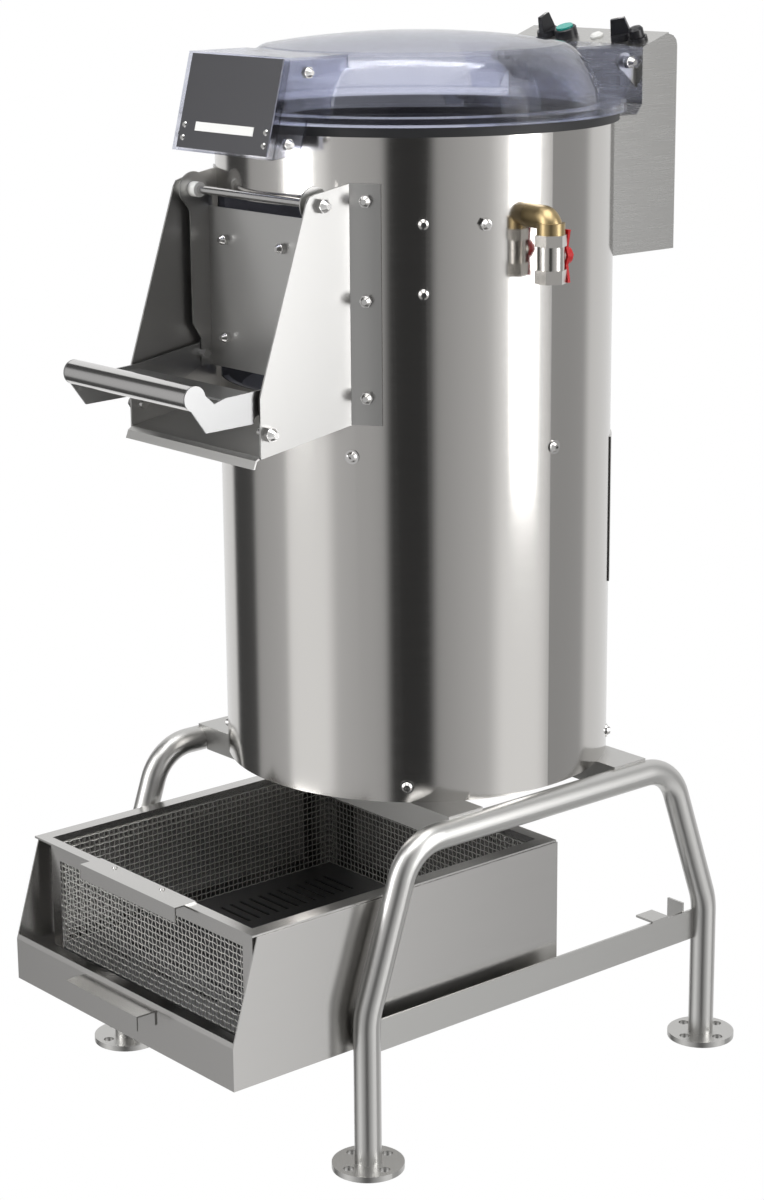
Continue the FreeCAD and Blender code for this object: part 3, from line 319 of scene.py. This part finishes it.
# Floor and light
# A floor that is white to the camera and hidden from reflections, and soft lamps.
floor_mat, floor_tree, floor_shader = finish_of("floor", (0.42, 0.42, 0.42), 0.0, 0.9)
floor_white = floor_tree.nodes.new("ShaderNodeEmission")
floor_path = floor_tree.nodes.new("ShaderNodeLightPath")
floor_pick = floor_tree.nodes.new("ShaderNodeMixShader")
floor_out = floor_tree.nodes["Material Output"]
floor_tree.links.new(floor_path.outputs["Is Camera Ray"], floor_pick.inputs["Fac"])
floor_tree.links.new(floor_shader.outputs["BSDF"], floor_pick.inputs[1])
floor_tree.links.new(floor_white.outputs["Emission"], floor_pick.inputs[2])
floor_tree.links.new(floor_pick.outputs["Shader"], floor_out.inputs["Surface"])
floor_mesh = bpy.data.meshes.new("floor")
floor_half = 6.0
floor_z = before[0][2] - 0.0005
floor_mesh.from_pydata([(-floor_half, -floor_half, floor_z), (floor_half, -floor_half, floor_z),
                        (floor_half, floor_half, floor_z), (-floor_half, floor_half, floor_z)],
                       [], [(0, 1, 2, 3)])
floor_mesh.materials.append(floor_mat)
floor = bpy.data.objects.new("floor", floor_mesh)
bpy.context.scene.collection.objects.link(floor)
floor.visible_glossy = False


def soft_lamp(name, at, target, size, power):
    lamp_data = bpy.data.lights.new(name, "AREA")
    lamp_data.shape = "RECTANGLE"
    lamp_data.size = size[0]
    lamp_data.size_y = size[1]
    lamp_data.energy = power
    lamp_object = bpy.data.objects.new(name, lamp_data)
    bpy.context.scene.collection.objects.link(lamp_object)
    lamp_object.location = at
    lamp_object.rotation_euler = (Vector(target) - Vector(at)).to_track_quat("-Z", "Y").to_euler()
    return lamp_object


aim = (0.0, 0.0, 0.6)
soft_lamp("key_lamp", (-1.0, -2.9, 1.6), aim, (1.0, 3.0), 44.0)
soft_lamp("side_lamp", (2.75, 1.2, 1.4), aim, (1.0, 3.0), 40.0)
soft_lamp("top_lamp", (0.3, -0.4, 3.2), aim, (2.2, 2.2), 52.0)

# Backdrop
# White to the camera; reflections see upright light and dark bands round the object.
world = bpy.data.worlds.new("backdrop")
bpy.context.scene.world = world
world.use_nodes = True
sky_tree = world.node_tree
shown = sky_tree.nodes["Background"]
socket(shown, "Color", (1.0, 1.0, 1.0, 1.0))
socket(shown, "Strength", 1.0)
felt = sky_tree.nodes.new("ShaderNodeBackground")
socket(felt, "Strength", 1.0)
direction = sky_tree.nodes.new("ShaderNodeTexCoord")
parts = sky_tree.nodes.new("ShaderNodeSeparateXYZ")
bearing = sky_tree.nodes.new("ShaderNodeMath")
bearing.operation = "ARCTAN2"
ramp = sky_tree.nodes.new("ShaderNodeValToRGB")
to_share = sky_tree.nodes.new("ShaderNodeMapRange")
socket(to_share, "From Min", -math.pi)
socket(to_share, "From Max", math.pi)
sky_tree.links.new(direction.outputs["Generated"], parts.inputs["Vector"])
sky_tree.links.new(parts.outputs["Y"], bearing.inputs[0])
sky_tree.links.new(parts.outputs["X"], bearing.inputs[1])
sky_tree.links.new(bearing.outputs["Value"], to_share.inputs["Value"])
sky_tree.links.new(to_share.outputs["Result"], ramp.inputs["Fac"])
sky_tree.links.new(ramp.outputs["Color"], felt.inputs["Color"])
room = [(0.0, 0.85), (0.012, 0.06), (0.076, 0.08), (0.085, 0.45), (0.155, 0.55), (0.165, 1.0),
        (0.235, 1.0), (0.255, 0.60), (0.335, 0.46), (0.345, 0.04), (0.408, 0.04), (0.420, 0.40),
        (0.505, 0.62), (0.530, 1.0), (0.605, 1.0), (0.618, 0.36), (0.705, 0.42), (0.725, 0.80),
        (0.885, 0.90), (1.0, 0.85)]
while len(ramp.color_ramp.elements) < len(room):
    ramp.color_ramp.elements.new(0.5)
for stop, (place, grey) in zip(ramp.color_ramp.elements, room):
    stop.position = place
    stop.color = (grey, grey, grey, 1.0)
path = sky_tree.nodes.new("ShaderNodeLightPath")
pick = sky_tree.nodes.new("ShaderNodeMixShader")
sky_tree.links.new(path.outputs["Is Camera Ray"], pick.inputs["Fac"])
sky_tree.links.new(felt.outputs["Background"], pick.inputs[1])
sky_tree.links.new(shown.outputs["Background"], pick.inputs[2])
sky_tree.links.new(pick.outputs["Shader"], sky_tree.nodes["World Output"].inputs["Surface"])

# Camera
# Long lens at the photo's viewpoint, as fitted to the object's edges.
camera_data = bpy.data.cameras.new("camera")
camera_data.sensor_width = 36.0
camera_data.lens = 81.47
camera = bpy.data.objects.new("camera", camera_data)
bpy.context.scene.collection.objects.link(camera)
view_right = Vector((0.64915, 0.76062, -0.00775))
view_up = Vector((-0.19154, 0.17332, 0.96606))
view_back = Vector((0.73615, -0.62563, 0.25820))
turn = Matrix((view_right, view_up, view_back)).transposed().to_4x4()
camera.matrix_world = Matrix.Translation((2.06883, -1.73698, 1.22751)) @ turn
bpy.context.scene.camera = camera
bpy.context.scene.view_settings.view_transform = "Standard"
